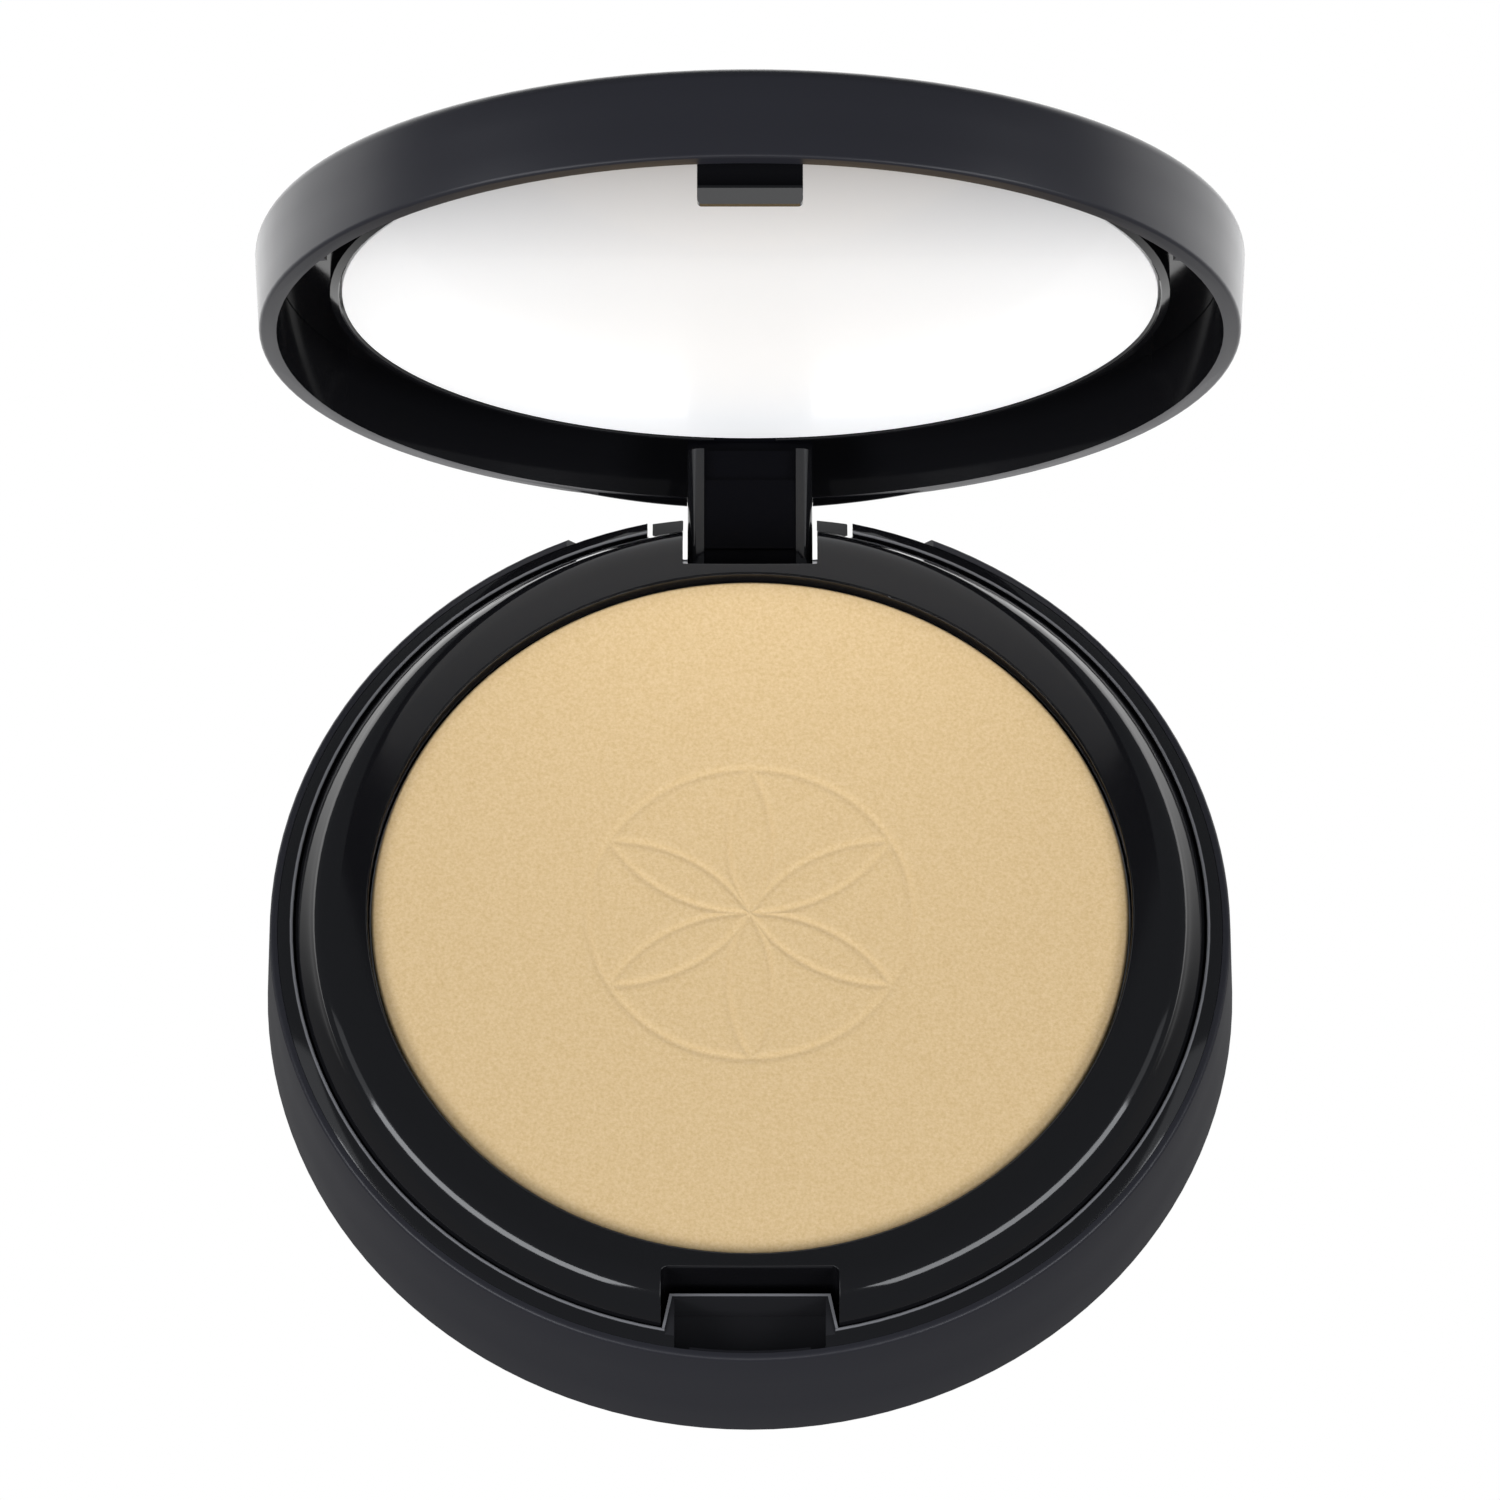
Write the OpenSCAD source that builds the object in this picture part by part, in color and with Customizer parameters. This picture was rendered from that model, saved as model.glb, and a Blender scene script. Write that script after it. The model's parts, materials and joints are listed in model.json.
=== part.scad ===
// Round powder compact: a base with a lift-up powder tray, and a mirrored lid on one hinge pin.
// Millimetres. The origin is the centre of the underside, +Z is up, +Y points to the hinge.

/* [Base] */
// Diameter of the base at its foot
base_d = 75; // [74.8:0.1:75.4]
// Diameter of the base at its rim
base_rim_d = 74; // [73.8:0.1:74.2]
// Height of the base's rim
base_rim_z = 11.45; // [11.35:0.05:11.5]
// Thickness of the base's floor
floor_t = 1.2; // [1.1:0.05:1.25]
// Inner diameter of the raised neck that the lid closes around
neck_d = 70.2; // [70.2:0.05:70.3]
// Height of the neck's edge
neck_z = 12.05; // [12:0.05:12.1]
// Diameter of the blank label on the underside
label_d = 40; // [30:1:50]

/* [Tray] */
// Diameter of the round window over the powder
window_d = 58.7; // [58.65:0.05:58.8]
// Height of the tray's top at the window's edge
window_z = 14.4; // [14.3:0.05:14.45]
// Height of the tray's top at its shoulder
shoulder_z = 14.68; // [14.6:0.02:14.7]
// Width of the finger notch in the tray's front edge
notch_w = 13.5; // [13.4:0.1:13.8]
// Distance from the centre to the finger notch
notch_y = 30.6; // [30.5:0.05:30.7]

/* [Powder] */
// Outer diameter of the metal pan
pan_d = 58.6; // [58.4:0.05:58.6]
// Thickness of the pan's sheet metal
pan_t = 0.2; // [0.15:0.01:0.25]
// Height of the powder's surface
powder_z = 13.6; // [13.4:0.05:13.8]

/* [Hinge] */
// Distance from the centre to the hinge pin
pin_y = 34.8; // [34.75:0.05:34.85]
// Height of the hinge pin
pin_z = 5.7; // [5.65:0.05:5.75]
// Diameter of the hinge pin
pin_d = 1.2; // [1:0.1:1.4]
// Length of the hinge pin
pin_len = 20.4; // [19.6:0.1:20.6]
// Radius of the knuckles around the pin
knuckle_r = 4.4; // [4.3:0.05:4.4]
// Width of the lid's hinge block
block_w = 9.8; // [9.6:0.1:10]

/* [Lid] */
// Diameter of the lid at its closed end
lid_d = 75.6; // [75.2:0.1:75.8]
// Diameter of the lid at its rim
lid_rim_d = 74.9; // [74.8:0.1:75]
// Height of the rim when the lid is shut
lid_rim_z = 11.85; // [11.8:0.01:11.9]
// Depth of the lid from its rim to its outside face
lid_h = 7.1; // [7:0.05:7.3]
// Diameter of the mirror glass
mirror_d = 62.3; // [62:0.1:62.4]
// Angle between the open lid and the shut one
lid_angle = 80.7; // [0:0.1:100]

/* [Hidden] */
$fn = 128;

satin_black = [0.10, 0.10, 0.115];
gloss_black = [0.03, 0.03, 0.035];
steel = [0.72, 0.72, 0.74];
tan_powder = [0.87, 0.76, 0.57];

over = 1;                                  // how far a cutting tool reaches past what it cuts
far = 60;                                  // reach of the tools that cut a whole side away
fit_gap = 0.05;                            // gap between parts that are pushed together
pin_play = 0.05;                           // running clearance around the pin
shell_r = base_rim_d / 2 - 0.8;            // inside of the base shell's wall
rebate_r = shell_r + 0.2;                  // the liner's flange sits in this rebate
rebate_z = base_rim_z - 0.65;
neck_r = neck_d / 2;
tray_r = neck_r - 0.12;
well_r = window_d / 2;
well_floor_z = 9.9;                        // the pan's adhesive lies on this floor
well_wall = 0.95;
tray_floor_t = 0.9;
skirt_z = 8.2;                             // lower edge of the tray's skirt
skirt_t = 0.9;
tray_plate_t = 0.85;
shoulder_r = 2.4;                          // rounding of the tray's shoulder
shoulder_y = 31.8;
adhesive_t = 0.15;
pan_rim_z = powder_z - 0.7;
block_gap = 0.34;                          // gap each side of the lid's hinge block
tray_knuckle_in = block_w / 2 + block_gap; // the tray's knuckles, measured from the middle
tray_knuckle_out = tray_knuckle_in + 2.4;
ear_in = tray_knuckle_out + 0.38;          // the base's ears, measured from the middle
ear_out = ear_in + 2.8;
ear_r = 2.1;
ear_head = 0.3;                            // room above the ears, under the liner
back_r = 37.15;                            // the knuckles end flush with the base's wall
hinge_sill_z = 1.05;                       // what is left of the back wall behind the knuckles
relief_w = 26.4;                           // width of the lowered back rim
relief_z = 9.3;
relief_ramp = 1.2;                         // the rim comes down over this width at each end
foot_edge = 0.2;
tray_back_y = 30.2;                        // the tray's hinge cut-out ends here
block_front_y = tray_back_y + 0.2;
block_top_z = 14;
pocket_w = 11.5;                           // latch pocket in the liner
pocket_y = 32;
pocket_wall = 0.3;
pocket_back_w = 12.2;                      // width of the pocket's block at its back
pocket_foot_w = 13.34;                     // and where it meets the neck
pocket_foot_y = 34.6;
pocket_floor_z = 8.7;                      // closes the pocket below the latch tab
pocket_floor_t = 0.5;
lip_r = 0.2;                               // rounding of the neck's edge
lip_slope = 61;                            // direction that the ledge faces beside the lip
lip_w = 0.2;                               // the same lip, as it runs around the pocket
lip_h = 0.16;
rib_z = 10.3;                              // catch rib inside the shell's front wall
rib_h = 0.45;
rib_r = 35.87;
rib_w = 9.2;
lid_r_in = 36.1;                           // inside of the lid's wall
lid_top_z = lid_rim_z + lid_h;
lid_plate_z = lid_top_z - 0.95;            // inside of the lid's flat top
bead_r = 0.42;                             // bead on the lid's rim at the hinge
bead_z = lid_rim_z - 0.1;
bead_tilt = 11.3;
bead_y = lid_r_in + 0.77;
bead_w = 29.2;
lug_h = 0.5;                               // height of the lugs that centre the lid
lug_w = 1.2;
lug_reach = 0.6;                           // how far they stand in from the wall
lug_z = lid_rim_z + 0.15;
lug_angle = 63.5;
brim_z = lid_plate_z - 0.7;                // visible floor of the lid's frame
mirror_r = mirror_d / 2;
mirror_z = 15.1;                           // the mirror's face when the lid is shut
mirror_t = 1.1;
tape_t = 0.2;
ring_r_in = mirror_r + 0.2;                // raised ring around the mirror
ring_r_out = ring_r_in + 0.7;
ring_z = mirror_z - 0.15;
hat_t = 0.8;
tab_w = 7.8;                               // latch tab at the lid's front
tab_tip_z = 9.15;
tab_corner = 0.35;
tab_y = 35.15;
tab_t = 0.9;
nose_y = 35.6;
sponge_d = 57.6;
sponge_t = 5.5;
label_t = 0.1;

// Points of an arc around c, from angle a0 to a1.
function arc(c, r, a0, a1, steps = 6) =
    [for (i = [0 : steps]) let (a = a0 + (a1 - a0) * i / steps) c + r * [cos(a), sin(a)]];

// Points of a curve from p0 to p2 that leans towards p1.
function bow(p0, p1, p2, steps = 6) =
    [for (i = [0 : steps]) let (t = i / steps) (1 - t) * (1 - t) * p0 + 2 * t * (1 - t) * p1 + t * t * p2];

// A box that is centred on X.
module slab(w, y0, y1, z0, z1) {
    translate([-w / 2, y0, z0]) cube([w, y1 - y0, z1 - z0]);
}

// A round disc around the Z axis.
module disc(r, z0, z1) {
    translate([0, 0, z0]) cylinder(r = r, h = z1 - z0);
}

// A rod along X through the hinge pin's centre line.
module hinge_rod(r, x0, x1) {
    translate([x0, pin_y, pin_z]) rotate([0, 90, 0]) cylinder(r = r, h = x1 - x0);
}

// Children on both sides of the middle.
module both_sides() {
    children();
    mirror([1, 0, 0]) children();
}

// Extrudes a (y, z) outline along X, centred.
module along_x(w) {
    translate([-w / 2, 0, 0]) rotate([90, 0, 90]) linear_extrude(w) children();
}

// A rectangle from y0 back, with its two corners at y0 rounded.
module round_front(w, y0, y1, r) {
    translate([-w / 2, y0 + r]) square([w, y1 - y0 - r]);
    translate([-w / 2 + r, y0]) square([w - 2 * r, r + 0.1]);
    for (x = [-w / 2 + r, w / 2 - r]) translate([x, y0 + r]) circle(r);
}

// Turns the lid's parts from shut to open around the pin.
module opened() {
    translate([0, pin_y, pin_z]) rotate([-lid_angle, 0, 0]) translate([0, -pin_y, -pin_z]) children();
}

// ---------------------------------------------------------------- base

// Outer bowl: wall, floor, the ears that hold the pin and the rib that the lid's tab snaps under.
module base_shell() {
    foot_r = base_d / 2;
    rim_r = base_rim_d / 2;
    color(satin_black) {
        difference() {
            union() {
                rotate_extrude() polygon(concat(
                    [[0, 0]],
                    arc([foot_r - foot_edge, foot_edge], foot_edge, -90, 0),
                    arc([rim_r - 0.35, base_rim_z - 0.35], 0.35, 0, 90),
                    [[rebate_r, base_rim_z], [rebate_r, rebate_z], [shell_r, rebate_z],
                     [shell_r, floor_t], [0, floor_t]]));
                both_sides() ear();
            }
            disc(label_d / 2, -over, label_t);
            slab(2 * ear_in, tray_back_y - 0.4, far, hinge_sill_z, far);
            back_relief();
            hinge_rod(pin_d / 2, -pin_len / 2, far);   // blind on the left, open on the right
        }
        catch_rib();
    }
}

// One ear of the base, which stands on the floor and leans on the wall.
module ear() {
    intersection() {
        union() {
            hinge_rod(ear_r, ear_in, ear_out);
            translate([ear_in, pin_y - ear_r, floor_t - 0.1])
                cube([ear_out - ear_in, 2 * ear_r, pin_z - floor_t + 0.1]);
        }
        disc(shell_r + 0.4, 0, far);
    }
}

// Cuts the back rim down, with a short ramp at each end.
module back_relief() {
    top_w = relief_w + 2 * relief_ramp;
    top_z = base_rim_z + 0.1;
    translate([0, far, 0]) rotate([90, 0, 0]) linear_extrude(far)
        polygon([[-relief_w / 2, relief_z], [relief_w / 2, relief_z],
                 [top_w / 2, top_z], [-top_w / 2, top_z]]);
}

module catch_rib() {
    intersection() {
        difference() {
            disc(shell_r + 0.2, rib_z, rib_z + rib_h);
            disc(rib_r, rib_z - over, rib_z + rib_h + over);
        }
        slab(rib_w, -far, 0, 0, far);
    }
}

// Glossy ring inside the shell: the ledge, the neck and the latch pocket.
module base_liner() {
    color(gloss_black) difference() {
        union() {
            rotate_extrude() polygon(concat(
                [[neck_r, floor_t], [shell_r - fit_gap, floor_t], [shell_r - fit_gap, rebate_z],
                 [rebate_r - 0.02, rebate_z], [rebate_r - 0.02, base_rim_z - 0.03]],
                arc([neck_r + lip_r, neck_z - lip_r], lip_r, lip_slope, 180)));
            pocket_block();
        }
        slab(pocket_w, -far, -pocket_y, 0, far);
        translate([0, 0, neck_z - lip_h]) linear_extrude(far) polygon(pocket_outline(lip_w));
        slab(2 * ear_in, 0, far, 0, far);
        slab(2 * (ear_out + ear_head), 0, far, 0, pin_z + ear_r + ear_head);
    }
    color(gloss_black) intersection() {
        slab(pocket_w + 0.4, -far, -pocket_y + 0.1, pocket_floor_z - pocket_floor_t, pocket_floor_z);
        disc(shell_r - fit_gap, 0, far);
    }
}

// Outline of the pocket's block, drawn in by inset on its three free sides.
function pocket_outline(inset) =
    let (back = pocket_back_w / 2 - inset, foot = pocket_foot_w / 2 - inset,
         back_y = -pocket_y + pocket_wall - inset)
    [[-foot, -far], [-foot, -pocket_foot_y], [-back, back_y],
     [back, back_y], [foot, -pocket_foot_y], [foot, -far]];

// The block that stands in from the neck around the latch pocket. Its back wall is thin at the top.
module pocket_block() {
    intersection() {
        union() {
            translate([0, 0, floor_t]) linear_extrude(neck_z - floor_t) polygon(pocket_outline(0));
            slab(pocket_back_w, -pocket_y - 0.1, -pocket_y + 0.8, floor_t, neck_z - 1.5);
        }
        disc(neck_r + 0.1, 0, far);
    }
}

// The tray's side from its skirt up to its top: a steep slope that rolls over in a wide round shoulder.
function tray_slope() = concat(
    bow([tray_r, neck_z - 0.15], [34.18, 13.22], [33.61, 13.85]),
    arc([shoulder_y, shoulder_z - shoulder_r], shoulder_r, 42, 96, 8));

// Outline of half the tray: rounded shoulder, sloping side, skirt, and the well that holds the pan.
function tray_outline() = concat(
    [[0, well_floor_z - tray_floor_t], [well_r + well_wall, well_floor_z - tray_floor_t],
     [well_r + well_wall, window_z - tray_plate_t],
     [tray_r - skirt_t, window_z - tray_plate_t - 1.5], [tray_r - skirt_t, skirt_z], [tray_r, skirt_z]],
    tray_slope(),
    [[well_r + 0.12, window_z], [well_r, window_z - 0.1], [well_r, well_floor_z], [0, well_floor_z]]);

// Glossy tray: the powder's pan sits in its well. Its two knuckles share the hinge pin.
module powder_tray() {
    fill_z = window_z - 0.05;
    solid_outline = concat([[0, skirt_z], [tray_r, skirt_z]], tray_slope(), [[well_r, fill_z], [0, fill_z]]);
    color(gloss_black) difference() {
        union() {
            rotate_extrude() polygon(tray_outline());
            intersection() {
                difference() {
                    rotate_extrude() polygon(solid_outline);
                    disc(well_r + 0.4, 0, far);
                }
                union() {
                    slab(notch_w + 1.8, -far, 0, 0, far);
                    slab(2 * tray_knuckle_out, 0, far, 0, far);
                }
            }
            intersection() {
                hinge_rod(knuckle_r, -tray_knuckle_out, tray_knuckle_out);
                disc(back_r, 0, far);
            }
        }
        slab(2 * tray_knuckle_in, tray_back_y, far, -over, far);
        translate([0, 0, -over]) linear_extrude(far)
            mirror([0, 1]) round_front(notch_w, notch_y, far, 0.6);
        hinge_rod(pin_d / 2 + pin_play, -far, far);
    }
}

module powder_pan() {
    pan_r = pan_d / 2;
    bottom_z = well_floor_z + adhesive_t;
    color(steel) rotate_extrude() polygon(concat(
        [[0, bottom_z]],
        arc([pan_r - 0.5, bottom_z + 0.5], 0.5, -90, 0, 4),
        [[pan_r, pan_rim_z], [pan_r - pan_t, pan_rim_z]],
        arc([pan_r - 0.5, bottom_z + 0.5], 0.5 - pan_t, 0, -90, 4),
        [[0, bottom_z + pan_t]]));
}

module pan_adhesive() {
    color("white") disc(25, well_floor_z, well_floor_z + adhesive_t);
}

// Pressed powder: fills the pan and stands a little above its rim, with a soft edge.
module powder_cake() {
    cake_r = pan_d / 2 - pan_t;
    bottom_z = well_floor_z + adhesive_t + pan_t;
    color(tan_powder) rotate_extrude() polygon(concat(
        [[0, bottom_z]],
        arc([pan_d / 2 - 0.5, bottom_z + 0.5 - pan_t], 0.5 - pan_t, -90, 0, 4),
        arc([cake_r - 0.2, powder_z - 0.2], 0.2, 0, 90, 4),
        [[0, powder_z]]));
}

module applicator_sponge() {
    r = sponge_d / 2;
    color([0.93, 0.86, 0.76]) rotate_extrude() polygon(concat(
        [[0, floor_t]],
        arc([r - 1, floor_t + 1], 1, -90, 0, 4),
        arc([r - 1, floor_t + sponge_t - 1], 1, 0, 90, 4),
        [[0, floor_t + sponge_t]]));
}

module hinge_pin() {
    color(steel) hinge_rod(pin_d / 2, -pin_len / 2, pin_len / 2);
}

module base_label() {
    color([0.16, 0.16, 0.17]) disc(label_d / 2, 0, label_t);
}

// ---------------------------------------------------------------- lid

// Outer lid: a shallow cup with a flat rim and two small lugs that centre it on the neck.
module lid_shell() {
    rim_r = lid_rim_d / 2;
    top_r = lid_d / 2;
    color(satin_black) opened() {
        rotate_extrude() polygon(concat(
            [[lid_r_in, lid_rim_z]],
            arc([rim_r - 0.3, lid_rim_z + 0.3], 0.3, -90, 0, 4),
            arc([top_r - 1, lid_top_z - 1], 1, 0, 90),
            [[0, lid_top_z], [0, lid_plate_z], [lid_r_in, lid_plate_z]]));
        for (side = [-1, 1]) rotate([0, 0, side * lug_angle])
            translate([0, -lid_r_in, lug_z]) linear_extrude(lug_h)
                polygon([[-lug_w / 2, -0.1], [lug_w / 2, -0.1], [0, lug_reach]]);
        rim_bead();
    }
}

// Low bead on the rim at each side of the hinge block. Its ring is tilted, so that it sinks into the
// rim at the far ends.
module rim_bead() {
    difference() {
        translate([0, bead_y, bead_z]) rotate([-bead_tilt, 0, 0]) translate([0, -bead_y, 0])
            rotate_extrude() translate([bead_y, 0]) circle(bead_r);
        slab(block_w + 2 * fit_gap, 0, far, 0, lid_rim_z);
        slab(2 * far, -far, 0, 0, far);
        both_sides() translate([bead_w / 2, 0, 0]) cube([far, far, far]);
    }
}

// Glossy frame pushed into the lid: floor, raised mirror ring, hinge block and latch tab.
module lid_frame() {
    brim_r = lid_r_in - fit_gap;
    color(gloss_black) opened() {
        rotate_extrude() polygon([
            [0, mirror_z + mirror_t + tape_t], [ring_r_in, mirror_z + mirror_t + tape_t],
            [ring_r_in, ring_z + 0.06], [ring_r_in + 0.1, ring_z],
            [ring_r_out, ring_z + 0.17], [ring_r_out, brim_z], [brim_r, brim_z],
            [brim_r, lid_plate_z], [ring_r_in - 0.2, lid_plate_z],
            [ring_r_in - 0.2, mirror_z + mirror_t + tape_t + hat_t],
            [0, mirror_z + mirror_t + tape_t + hat_t]]);
        hinge_block();
        latch_tab();
    }
}

// The block reaches from the lid's floor down to the pin, and turns in the cut-out of base and tray.
module hinge_block() {
    panel_w = 7.2;
    panel_z = 11.4;
    difference() {
        intersection() {
            linear_extrude(far) round_front(block_w, block_front_y, far, 1);
            along_x(block_w + over) polygon(concat(
                [[far, brim_z + 0.1], [ring_r_in + 0.3, brim_z + 0.1], [ring_r_in + 0.3, block_top_z],
                 [block_front_y, block_top_z]],
                arc([pin_y, pin_z], knuckle_r, 180, 270, 8), [[far, pin_z - knuckle_r]]));
            union() {
                disc(lid_r_in - fit_gap, lid_rim_z - 0.1, far);
                disc(back_r, 0, lid_rim_z);
            }
            union() {
                slab(block_w + over, 0, far, pin_z, far);
                hinge_rod(knuckle_r, -block_w, block_w);
            }
        }
        slab(panel_w, 0, block_front_y + 0.15, pin_z, panel_z);
        slab(panel_w, 0, block_front_y + 0.6, panel_z, block_top_z + over);
        difference() {
            slab(panel_w, 0, pin_y, 0, pin_z);
            hinge_rod(knuckle_r - 0.35, -far, far);
        }
        hinge_rod(pin_d / 2 + pin_play, -far, far);
    }
}

// Springy tab whose nose snaps under the rib in the base's front wall.
module latch_tab() {
    intersection() {
        along_x(tab_w) polygon([
            [-tab_y + tab_t, brim_z + 0.1], [-tab_y, brim_z + 0.1], [-tab_y, tab_tip_z + 2.4],
            [-tab_y - 0.15, tab_tip_z + 1.6], [-nose_y, tab_tip_z + 1.15], [-nose_y, tab_tip_z + 0.95],
            [-tab_y + 0.35, tab_tip_z], [-tab_y + tab_t, tab_tip_z]]);
        rotate([90, 0, 0]) linear_extrude(far) round_front(tab_w, tab_tip_z, far, tab_corner);
    }
}

module mirror_glass() {
    color([0.85, 0.87, 0.88]) opened() disc(mirror_r, mirror_z, mirror_z + mirror_t);
}

module mirror_tape() {
    color("white") opened() disc(mirror_r - 0.4, mirror_z + mirror_t, mirror_z + mirror_t + tape_t);
}

base_shell();
base_liner();
powder_tray();
powder_pan();
pan_adhesive();
powder_cake();
applicator_sponge();
hinge_pin();
base_label();
lid_shell();
lid_frame();
mirror_glass();
mirror_tape();
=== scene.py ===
"""Looks of the powder compact: smooth moulded plastic, pressed powder, mirror, light table and camera.

Every piece keeps the place and size of its CAD node. Lengths are metres; MM turns millimetres into metres.
"""

import json
import math

import bmesh
import bpy
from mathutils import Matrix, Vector


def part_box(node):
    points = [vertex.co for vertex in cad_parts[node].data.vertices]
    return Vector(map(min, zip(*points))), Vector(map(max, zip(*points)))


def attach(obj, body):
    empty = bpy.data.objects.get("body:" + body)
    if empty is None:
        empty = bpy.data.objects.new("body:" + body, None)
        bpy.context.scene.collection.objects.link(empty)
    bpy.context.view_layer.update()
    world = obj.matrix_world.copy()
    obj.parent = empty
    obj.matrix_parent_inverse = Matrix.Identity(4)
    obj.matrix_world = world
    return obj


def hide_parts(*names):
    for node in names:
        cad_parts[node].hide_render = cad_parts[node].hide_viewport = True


MM = 0.001
POLISHED_COLOUR = (0.006, 0.006, 0.007)
POLISHED_ROUGHNESS = 0.08
GLOSS_IOR = 1.42

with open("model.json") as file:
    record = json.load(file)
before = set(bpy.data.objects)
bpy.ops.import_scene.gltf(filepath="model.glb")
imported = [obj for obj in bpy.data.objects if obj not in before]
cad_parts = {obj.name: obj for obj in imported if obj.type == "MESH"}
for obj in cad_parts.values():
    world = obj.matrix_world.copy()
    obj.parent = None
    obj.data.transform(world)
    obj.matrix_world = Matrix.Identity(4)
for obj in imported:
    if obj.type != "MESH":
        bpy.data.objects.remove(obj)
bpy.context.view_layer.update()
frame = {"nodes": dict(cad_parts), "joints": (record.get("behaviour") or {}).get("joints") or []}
mirror_low, mirror_high = (Vector(corner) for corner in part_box("mirror_glass"))
neck_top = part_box("base_liner")[1][2]


def set_camera():
    """A long lens, one metre away, that looks down on the open compact from the front."""
    target = Vector((0, 16.7 * MM, 8.95 * MM))
    distance = 1000 * MM
    looks_down = math.radians(61.82)
    data = bpy.data.cameras.new("camera")
    data.lens = 308.6
    data.sensor_width = 36
    data.clip_start = 0.1
    data.clip_end = 20
    camera = bpy.data.objects.new("camera", data)
    camera.location = target + distance * Vector((0, -math.cos(looks_down), math.sin(looks_down)))
    camera.rotation_euler = (math.pi / 2 - looks_down, 0, 0)
    bpy.context.collection.objects.link(camera)
    bpy.context.scene.camera = camera


# ---------------------------------------------------------------- materials


class Surface:
    """A Principled material, with short calls for the textures that the pieces need."""

    def __init__(self, name, colour, roughness, **sockets):
        self.material = bpy.data.materials.new(name)
        self.material.use_nodes = True
        self.nodes = self.material.node_tree.nodes
        self.links = self.material.node_tree.links
        self.shader = self.nodes["Principled BSDF"]
        self.shader.inputs["Base Color"].default_value = (*colour, 1)
        self.shader.inputs["Roughness"].default_value = roughness
        for socket, value in sockets.items():
            self.shader.inputs[socket.replace("_", " ")].default_value = value
        self.place = self.nodes.new("ShaderNodeTexCoord").outputs["Object"]

    def height(self):
        """The height of the shaded point, in metres, in the piece's own axes."""
        node = self.nodes.new("ShaderNodeSeparateXYZ")
        self.links.new(self.place, node.inputs["Vector"])
        return node.outputs["Z"]

    def noise(self, size, detail=3.0, rough=0.5, stretch=(1, 1, 1)):
        """Noise whose features are about `size` metres across."""
        mapping = self.nodes.new("ShaderNodeMapping")
        mapping.inputs["Scale"].default_value = [k / size for k in stretch]
        self.links.new(self.place, mapping.inputs["Vector"])
        node = self.nodes.new("ShaderNodeTexNoise")
        node.inputs["Scale"].default_value = 1
        node.inputs["Detail"].default_value = detail
        node.inputs["Roughness"].default_value = rough
        self.links.new(mapping.outputs["Vector"], node.inputs["Vector"])
        return node.outputs["Fac"]

    def cells(self, size):
        """Cells about `size` metres across, as the distance to the nearest cell's middle."""
        node = self.nodes.new("ShaderNodeTexVoronoi")
        node.inputs["Scale"].default_value = 1 / size
        self.links.new(self.place, node.inputs["Vector"])
        return node.outputs["Distance"]

    def span(self, value, low, high, from_low=0.3, from_high=0.7):
        """Stretches a value from one range to another and holds it at the ends."""
        node = self.nodes.new("ShaderNodeMapRange")
        node.inputs["From Min"].default_value = from_low
        node.inputs["From Max"].default_value = from_high
        node.inputs["To Min"].default_value = low
        node.inputs["To Max"].default_value = high
        self.links.new(value, node.inputs["Value"])
        return node.outputs["Result"]

    def ramp(self, value, stops):
        """Colours along a value; stops are (place, colour)."""
        node = self.nodes.new("ShaderNodeValToRGB")
        elements = node.color_ramp.elements
        while len(elements) < len(stops):
            elements.new(0.5)
        for element, (where, colour) in zip(elements, stops):
            element.position = where
            element.color = (*colour, 1)
        self.links.new(value, node.inputs["Fac"])
        return node.outputs["Color"]

    def bump(self, height, depth, strength=1.0):
        """Adds a relief of the given depth to the relief that is already there."""
        node = self.nodes.new("ShaderNodeBump")
        node.inputs["Strength"].default_value = strength
        node.inputs["Distance"].default_value = depth
        self.links.new(height, node.inputs["Height"])
        normal = self.shader.inputs["Normal"]
        if normal.is_linked:
            self.links.new(normal.links[0].from_socket, node.inputs["Normal"])
        self.links.new(node.outputs["Normal"], normal)

    def drive(self, socket, value):
        """Lets a node's value stand in for one of the shader's constants."""
        self.links.new(value, self.shader.inputs[socket])


def satin_black():
    """Fine spark-eroded plastic, nearly smooth, a little bluish."""
    surface = Surface("satin_black", (0.020, 0.020, 0.025), 0.34, IOR=1.3)
    surface.drive("Roughness", surface.span(surface.noise(14 * MM, 2), 0.31, 0.37))
    surface.bump(surface.noise(0.12 * MM, 2), 0.004 * MM, 0.6)
    return surface.material


def polished(name, ior):
    """Polished black plastic, very slightly wavy."""
    surface = Surface(name, POLISHED_COLOUR, POLISHED_ROUGHNESS, IOR=ior)
    surface.bump(surface.noise(7 * MM, 1), 0.004 * MM, 0.3)
    return surface


def gloss_black(name="gloss_black", ior=GLOSS_IOR):
    """Polished plastic with faint wipe marks."""
    surface = polished(name, ior)
    surface.drive("Roughness", surface.span(surface.noise(9 * MM, 4, 0.6), 0.06, 0.12))
    return surface.material


def gloss_painted_edge_highlight():
    """Polished plastic whose highest edge, along the top of the neck, is painted grey and rougher: a painted
    highlight.
    """
    highlight_starts = neck_top - 0.05 * MM
    highlight_is_full = neck_top - 0.015 * MM
    surface = polished("gloss_painted_edge_highlight", GLOSS_IOR)
    # painted highlight: the neck's topmost band is painted grey, standing in for a thin line of light
    painted_highlight = surface.span(surface.height(), 0, 1, highlight_starts, highlight_is_full)
    surface.drive("Base Color", surface.ramp(painted_highlight, [(0, POLISHED_COLOUR), (1, (0.17, 0.17, 0.18))]))
    surface.drive("Roughness", surface.span(painted_highlight, POLISHED_ROUGHNESS, 0.35, 0, 1))
    return surface.material


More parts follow.
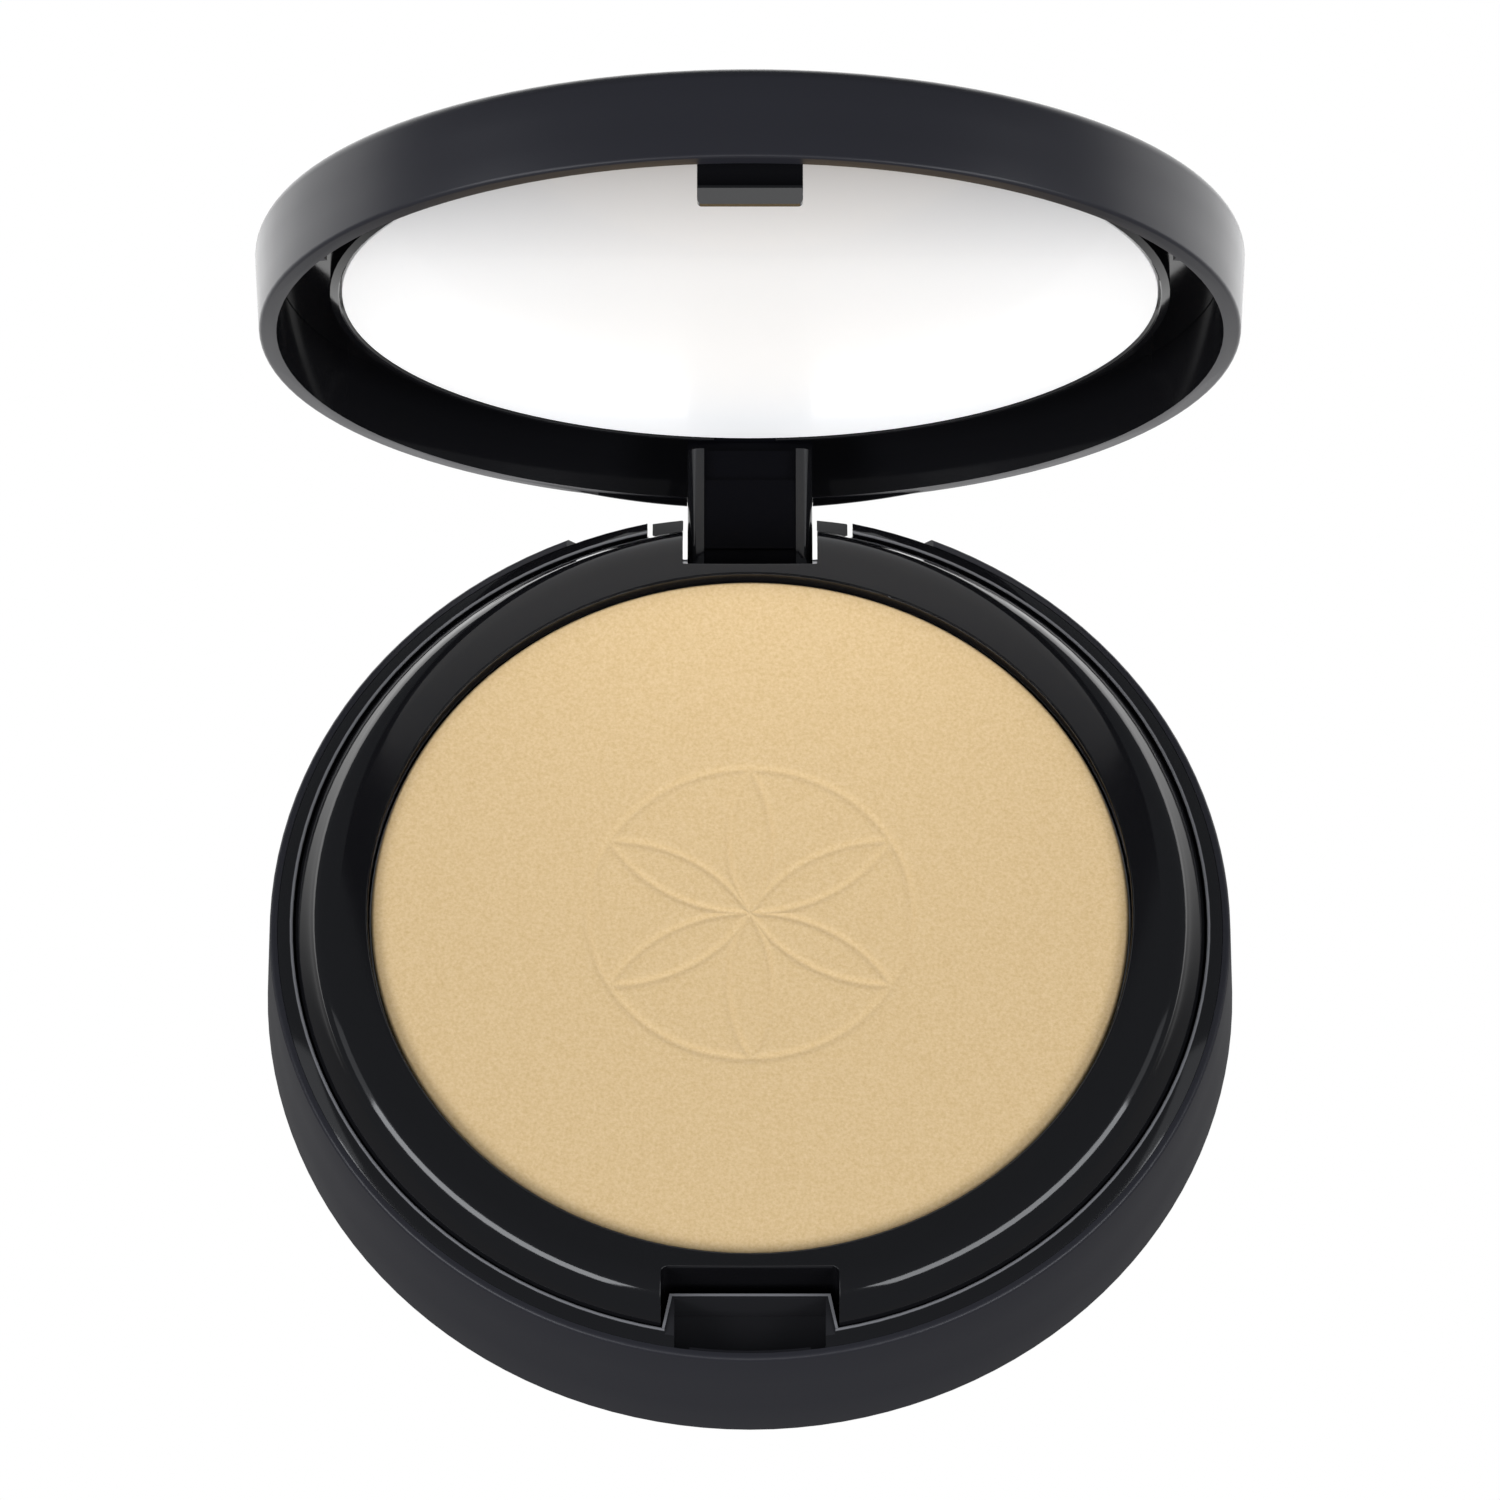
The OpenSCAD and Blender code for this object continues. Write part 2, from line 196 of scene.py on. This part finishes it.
def plain_black(name, colour, roughness):
    """Unpolished inner face of a moulding, with the faint swirl of the tool that cut the mould."""
    surface = Surface(name, colour, roughness, IOR=1.1)
    swirl = surface.noise(3 * MM, 3, stretch=(1, 0.2, 1))
    surface.drive("Roughness", surface.span(swirl, roughness - 0.05, roughness + 0.05))
    surface.bump(surface.noise(0.2 * MM, 2), 0.003 * MM, 0.4)
    return surface.material


def pressed_powder():
    """Warm tan powder: a fine even press grain over sandy specks."""
    tan = (0.72, 0.52, 0.275)
    tones = [(0.28, (0.64, 0.44, 0.21)), (0.5, tan), (0.72, (0.79, 0.59, 0.34))]
    surface = Surface("pressed_powder", tan, 0.92, Specular_IOR_Level=0.2)
    surface.drive("Base Color", surface.ramp(surface.noise(0.26 * MM, 5, 0.7), tones))
    surface.bump(surface.noise(0.30 * MM, 3, 0.6), 0.04 * MM, 0.5)
    surface.bump(surface.cells(0.16 * MM), 0.015 * MM, 0.35)
    return surface.material


def mirror_glass():
    """Mirror under a thin milky film, drawn pale all over. Painted shade greys it towards its far edge, and a
    painted glow, though it is no lamp, lights it faintly and fades the same way.
    """
    # painted shade: the mirror's colour greys towards its far edge
    tones = [(0.0, (0.90, 0.90, 0.90)), (0.60, (0.80, 0.80, 0.805)), (0.95, (0.46, 0.46, 0.47))]
    painted_glow_tones = [(0.0, (1, 1, 1)), (0.55, (0.75, 0.75, 0.75)), (0.95, (0.2, 0.2, 0.2))]
    surface = Surface("mirror_glass", (0.6, 0.6, 0.6), 0.3, IOR=1.3, Coat_Weight=0.15, Coat_Roughness=0.02)
    # painted glow: the mirror emits light though it is no lamp
    surface.shader.inputs["Emission Strength"].default_value = 0.35
    surface.drive("Roughness", surface.span(surface.noise(20 * MM, 2), 0.28, 0.34))
    painted_light_fade = surface.span(surface.height(), 0, 1, mirror_low.z, mirror_high.z)
    surface.drive("Base Color", surface.ramp(painted_light_fade, tones))
    surface.drive("Emission Color", surface.ramp(painted_light_fade, painted_glow_tones))
    return surface.material


def pan_metal():
    """Drawn tinned sheet."""
    surface = Surface("pan_metal", (0.45, 0.45, 0.46), 0.4, Metallic=1.0)
    surface.drive("Roughness", surface.span(surface.noise(1.5 * MM, 3, stretch=(1, 1, 0.1)), 0.34, 0.48))
    return surface.material


def pin_steel():
    """Drawn wire, with lines along its length."""
    surface = Surface("pin_steel", (0.60, 0.60, 0.62), 0.3, Metallic=1.0)
    surface.bump(surface.noise(0.08 * MM, 2, stretch=(0.02, 1, 1)), 0.003 * MM, 0.6)
    return surface.material


def foam():
    """Fine closed foam with open skin pores."""
    tones = [(0.3, (0.80, 0.66, 0.51)), (0.7, (0.89, 0.76, 0.62))]
    surface = Surface("foam", (0.86, 0.72, 0.57), 0.85, Specular_IOR_Level=0.2)
    surface.drive("Base Color", surface.ramp(surface.noise(3 * MM, 4), tones))
    surface.bump(surface.cells(0.35 * MM), 0.08 * MM, 0.6)
    return surface.material


def adhesive():
    """Off-white double-sided tape with faint fibres."""
    surface = Surface("adhesive", (0.80, 0.79, 0.74), 0.6)
    surface.bump(surface.noise(0.4 * MM, 4, stretch=(1, 0.15, 1)), 0.01 * MM, 0.4)
    return surface.material


def label_film():
    """Dark blank film, a little smoother than the shell around it."""
    surface = Surface("label_film", (0.035, 0.035, 0.038), 0.28)
    surface.drive("Roughness", surface.span(surface.noise(6 * MM, 3), 0.25, 0.32))
    surface.bump(surface.noise(0.5 * MM, 3), 0.003 * MM, 0.5)
    return surface.material


# ---------------------------------------------------------------- pieces


def moulded(node, body, material):
    """A clean copy of a CAD node: its faces joined, curves shaded smooth and hard edges softened."""
    edge = 0.08 * MM
    crease = math.radians(32)
    join_within = 0.002 * MM
    flat_within = math.radians(0.05)
    mesh = frame["nodes"][node].data.copy()
    mesh.materials.clear()
    mesh.materials.append(material)
    draft = bmesh.new()
    draft.from_mesh(mesh)
    bmesh.ops.remove_doubles(draft, verts=draft.verts, dist=join_within)
    bmesh.ops.dissolve_limit(draft, angle_limit=flat_within, verts=draft.verts, edges=draft.edges)
    for face in draft.faces:
        face.smooth = True
    draft.to_mesh(mesh)
    draft.free()
    if "custom_normal" in mesh.attributes:
        mesh.attributes.remove(mesh.attributes["custom_normal"])
    mesh.set_sharp_from_angle(angle=crease)
    piece = bpy.data.objects.new(node + "_piece", mesh)
    bpy.context.collection.objects.link(piece)
    bevel = piece.modifiers.new("soft_edges", "BEVEL")
    bevel.width = edge
    bevel.segments = 2
    bevel.limit_method = "ANGLE"
    bevel.angle_limit = crease
    bevel.harden_normals = True
    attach(piece, body)
    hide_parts(node)
    return piece


def second_finish(piece, material, belongs):
    """Gives another finish to the faces that pass the test."""
    piece.data.materials.append(material)
    for face in piece.data.polygons:
        if belongs(face):
            face.material_index = 1


def on_panel(face):
    """Whether a face is in the recess on the front of the hinge block."""
    half_width = 3.65 * MM
    return abs(face.center.x) < half_width and face.center.z < mirror_low.z


def in_pocket(face):
    """Whether a face is inside the latch pocket at the front, below the neck's grey painted highlight edge.
    """
    half_width = 5.8 * MM
    inner_y = -31.9 * MM
    # depth of the neck's painted highlight band, kept out of the pocket
    painted_highlight_depth = 0.1 * MM
    centre = face.center
    return abs(centre.x) < half_width and centre.y < inner_y and centre.z < neck_top - painted_highlight_depth


def inside_lid_wall(face):
    """Whether a face is on the inner side of the open lid's round wall."""
    past_mirror = 30 * MM
    lid_hinge = frame["joints"][0]
    opened = math.radians(-lid_hinge["range_deg"][0])
    axis = Vector((0, math.sin(opened), math.cos(opened)))
    away = face.center - (mirror_low + mirror_high) / 2
    away -= away.dot(axis) * axis
    return away.length > past_mirror and away.dot(face.normal) < 0


def rosette_depth(x, y, reach, line):
    """How deep the rosette's lines are at a point, from 0 to 1: six compass arcs inside a ring."""
    r = math.hypot(x, y)
    gap = abs(r - reach)
    arcs = 6
    if r < reach:
        for k in range(arcs):
            turn = 2 * math.pi * (k + 0.5) / arcs
            to_centre = math.hypot(x - reach * math.cos(turn), y - reach * math.sin(turn))
            gap = min(gap, abs(to_centre - reach))
    return math.exp(-((gap / line) ** 2))


def powder_surface(material):
    """Pressed powder with a soft edge and a shallow stamped rosette."""
    low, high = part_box("powder_cake")
    radius = high[0]
    top = high[2]
    soft = 0.28 * MM
    reach = 12.5 * MM
    line = 0.28 * MM
    deep = 0.10 * MM
    stamp_end = reach + 1 * MM
    around = 480
    fine_step = 0.16 * MM
    fine_end = reach + 1.2 * MM
    coarse_step = 0.9 * MM
    coarse_end = radius - soft - 1 * MM
    edge_steps = 6
    rings = [fine_step * k for k in range(1, int(fine_end / fine_step))]
    while rings[-1] < coarse_end:
        rings.append(rings[-1] + coarse_step)
    profile = [(r, top) for r in rings]
    for k in range(edge_steps + 1):
        turn = math.pi / 2 * k / edge_steps
        profile.append((radius - soft + soft * math.sin(turn), top - soft + soft * math.cos(turn)))
    profile.append((radius, low[2]))
    verts = [(0, 0, top)]
    for r, z in profile:
        for k in range(around):
            turn = 2 * math.pi * k / around
            x = r * math.cos(turn)
            y = r * math.sin(turn)
            stamp = deep * rosette_depth(x, y, reach, line) if r < stamp_end else 0
            verts.append((x, y, z - stamp))
    faces = [(0, 1 + k, 1 + (k + 1) % around) for k in range(around)]
    for ring in range(len(profile) - 1):
        first = 1 + ring * around
        for k in range(around):
            after = (k + 1) % around
            faces.append((first + k, first + around + k, first + around + after, first + after))
    last_ring = 1 + (len(profile) - 1) * around
    faces.append([last_ring + k for k in reversed(range(around))])
    mesh = bpy.data.meshes.new("powder_surface")
    mesh.from_pydata(verts, [], faces)
    mesh.polygons.foreach_set("use_smooth", [True] * len(mesh.polygons))
    mesh.set_sharp_from_angle(angle=math.radians(50))
    mesh.materials.append(material)
    piece = bpy.data.objects.new("powder_surface", mesh)
    bpy.context.collection.objects.link(piece)
    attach(piece, "base")
    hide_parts("powder_cake")


def make_pieces():
    """Every piece in its own finish, on the body that it moves with."""
    satin = satin_black()
    gloss = gloss_black()
    tape = adhesive()
    base_pieces = {
        "base_shell": satin,
        "base_liner": gloss_painted_edge_highlight(),
        "powder_tray": gloss,
        "powder_pan": pan_metal(),
        "pan_adhesive": tape,
        "applicator_sponge": foam(),
        "hinge_pin": pin_steel(),
        "base_label": label_film(),
    }
    lid_pieces = {
        "lid_shell": satin,
        "lid_frame": gloss,
        "mirror_glass": mirror_glass(),
        "mirror_tape": tape,
    }
    made = {}
    for body, pieces in (("base", base_pieces), ("lid", lid_pieces)):
        for node, material in pieces.items():
            made[node] = moulded(node, body, material)
    second_finish(made["lid_frame"], plain_black("panel_black", (0.002, 0.002, 0.003), 0.4), on_panel)
    second_finish(made["lid_shell"], gloss_black("lid_inside", 1.12), inside_lid_wall)
    second_finish(made["base_liner"], plain_black("pocket_black", (0.018, 0.018, 0.020), 0.5), in_pocket)
    powder_surface(pressed_powder())


# ---------------------------------------------------------------- stage


def soft_box(name, azimuth, elevation, size, glow, colour):
    """A flat lamp that faces the compact. Azimuth 0 is the front, 90 is the right; glow is its radiance."""
    aim = Vector((0, 0, 20 * MM))
    distance = 1000 * MM
    turn = math.radians(azimuth)
    rise = math.radians(elevation)
    toward = Vector((math.sin(turn) * math.cos(rise), -math.cos(turn) * math.cos(rise), math.sin(rise)))
    data = bpy.data.lights.new(name, "AREA")
    data.shape = "RECTANGLE"
    data.size, data.size_y = size
    data.energy = glow * math.pi * size[0] * size[1]
    data.color = colour
    lamp = bpy.data.objects.new(name, data)
    lamp.location = aim + distance * toward
    lamp.rotation_euler = toward.to_track_quat("Z", "Y").to_euler()
    bpy.context.collection.objects.link(lamp)


def light_table():
    """Pale table. It looks evenly white, and what it throws on the compact fades out towards the front.

    It is clear from below, so that the underside can be looked at.
    """
    reach = 2000 * MM
    level = -0.02 * MM
    fade_length = 65 * MM
    thrown_in_front = 0.22
    thrown_behind = 2.4
    seen_by_camera = 1.0
    corners = [(x, y, level) for x, y in ((-reach, -reach), (reach, -reach), (reach, reach), (-reach, reach))]
    mesh = bpy.data.meshes.new("table")
    mesh.from_pydata(corners, [], [(0, 1, 2, 3)])
    material = bpy.data.materials.new("table")
    material.use_nodes = True
    nodes = material.node_tree.nodes
    links = material.node_tree.links
    nodes.clear()
    split = nodes.new("ShaderNodeSeparateXYZ")
    links.new(nodes.new("ShaderNodeTexCoord").outputs["Object"], split.inputs["Vector"])
    thrown = nodes.new("ShaderNodeMapRange")
    thrown.interpolation_type = "SMOOTHSTEP"
    thrown.inputs["From Min"].default_value = 0
    thrown.inputs["From Max"].default_value = fade_length
    thrown.inputs["To Min"].default_value = thrown_in_front
    thrown.inputs["To Max"].default_value = thrown_behind
    links.new(split.outputs["Y"], thrown.inputs["Value"])
    glow = nodes.new("ShaderNodeMix")
    links.new(nodes.new("ShaderNodeLightPath").outputs["Is Camera Ray"], glow.inputs["Factor"])
    links.new(thrown.outputs["Result"], glow.inputs["A"])
    glow.inputs["B"].default_value = seen_by_camera
    emission = nodes.new("ShaderNodeEmission")
    links.new(glow.outputs["Result"], emission.inputs["Strength"])
    from_below = nodes.new("ShaderNodeNewGeometry").outputs["Backfacing"]
    clear = nodes.new("ShaderNodeBsdfTransparent").outputs["BSDF"]
    top_or_clear = nodes.new("ShaderNodeMixShader")
    links.new(from_below, top_or_clear.inputs[0])
    links.new(emission.outputs["Emission"], top_or_clear.inputs[1])
    links.new(clear, top_or_clear.inputs[2])
    links.new(top_or_clear.outputs["Shader"], nodes.new("ShaderNodeOutputMaterial").inputs["Surface"])
    mesh.materials.append(material)
    table = bpy.data.objects.new("table", mesh)
    bpy.context.collection.objects.link(table)


def set_light():
    """A dim cool room, the light table, a wide lamp and a small one on each side, and one in front."""
    world = bpy.data.worlds.new("world")
    world.use_nodes = True
    background = world.node_tree.nodes["Background"]
    background.inputs["Color"].default_value = (0.9, 0.95, 1.0, 1)
    background.inputs["Strength"].default_value = 0.22
    bpy.context.scene.world = world
    bpy.context.scene.view_settings.view_transform = "Standard"
    light_table()
    cool = (0.94, 0.96, 1.0)
    white = (1, 1, 1)
    soft_box("left_box", -56, 31, (1.0, 0.30), 8.2, cool)
    soft_box("right_box", 56, 31, (1.0, 0.30), 7.0, cool)
    soft_box("left_side", -94, 31, (0.30, 0.30), 0.9, cool)
    soft_box("right_side", 94, 31, (0.30, 0.30), 0.8, cool)
    soft_box("front_box", 0, 30, (0.5, 0.42), 2.4, white)


set_camera()
make_pieces()
set_light()
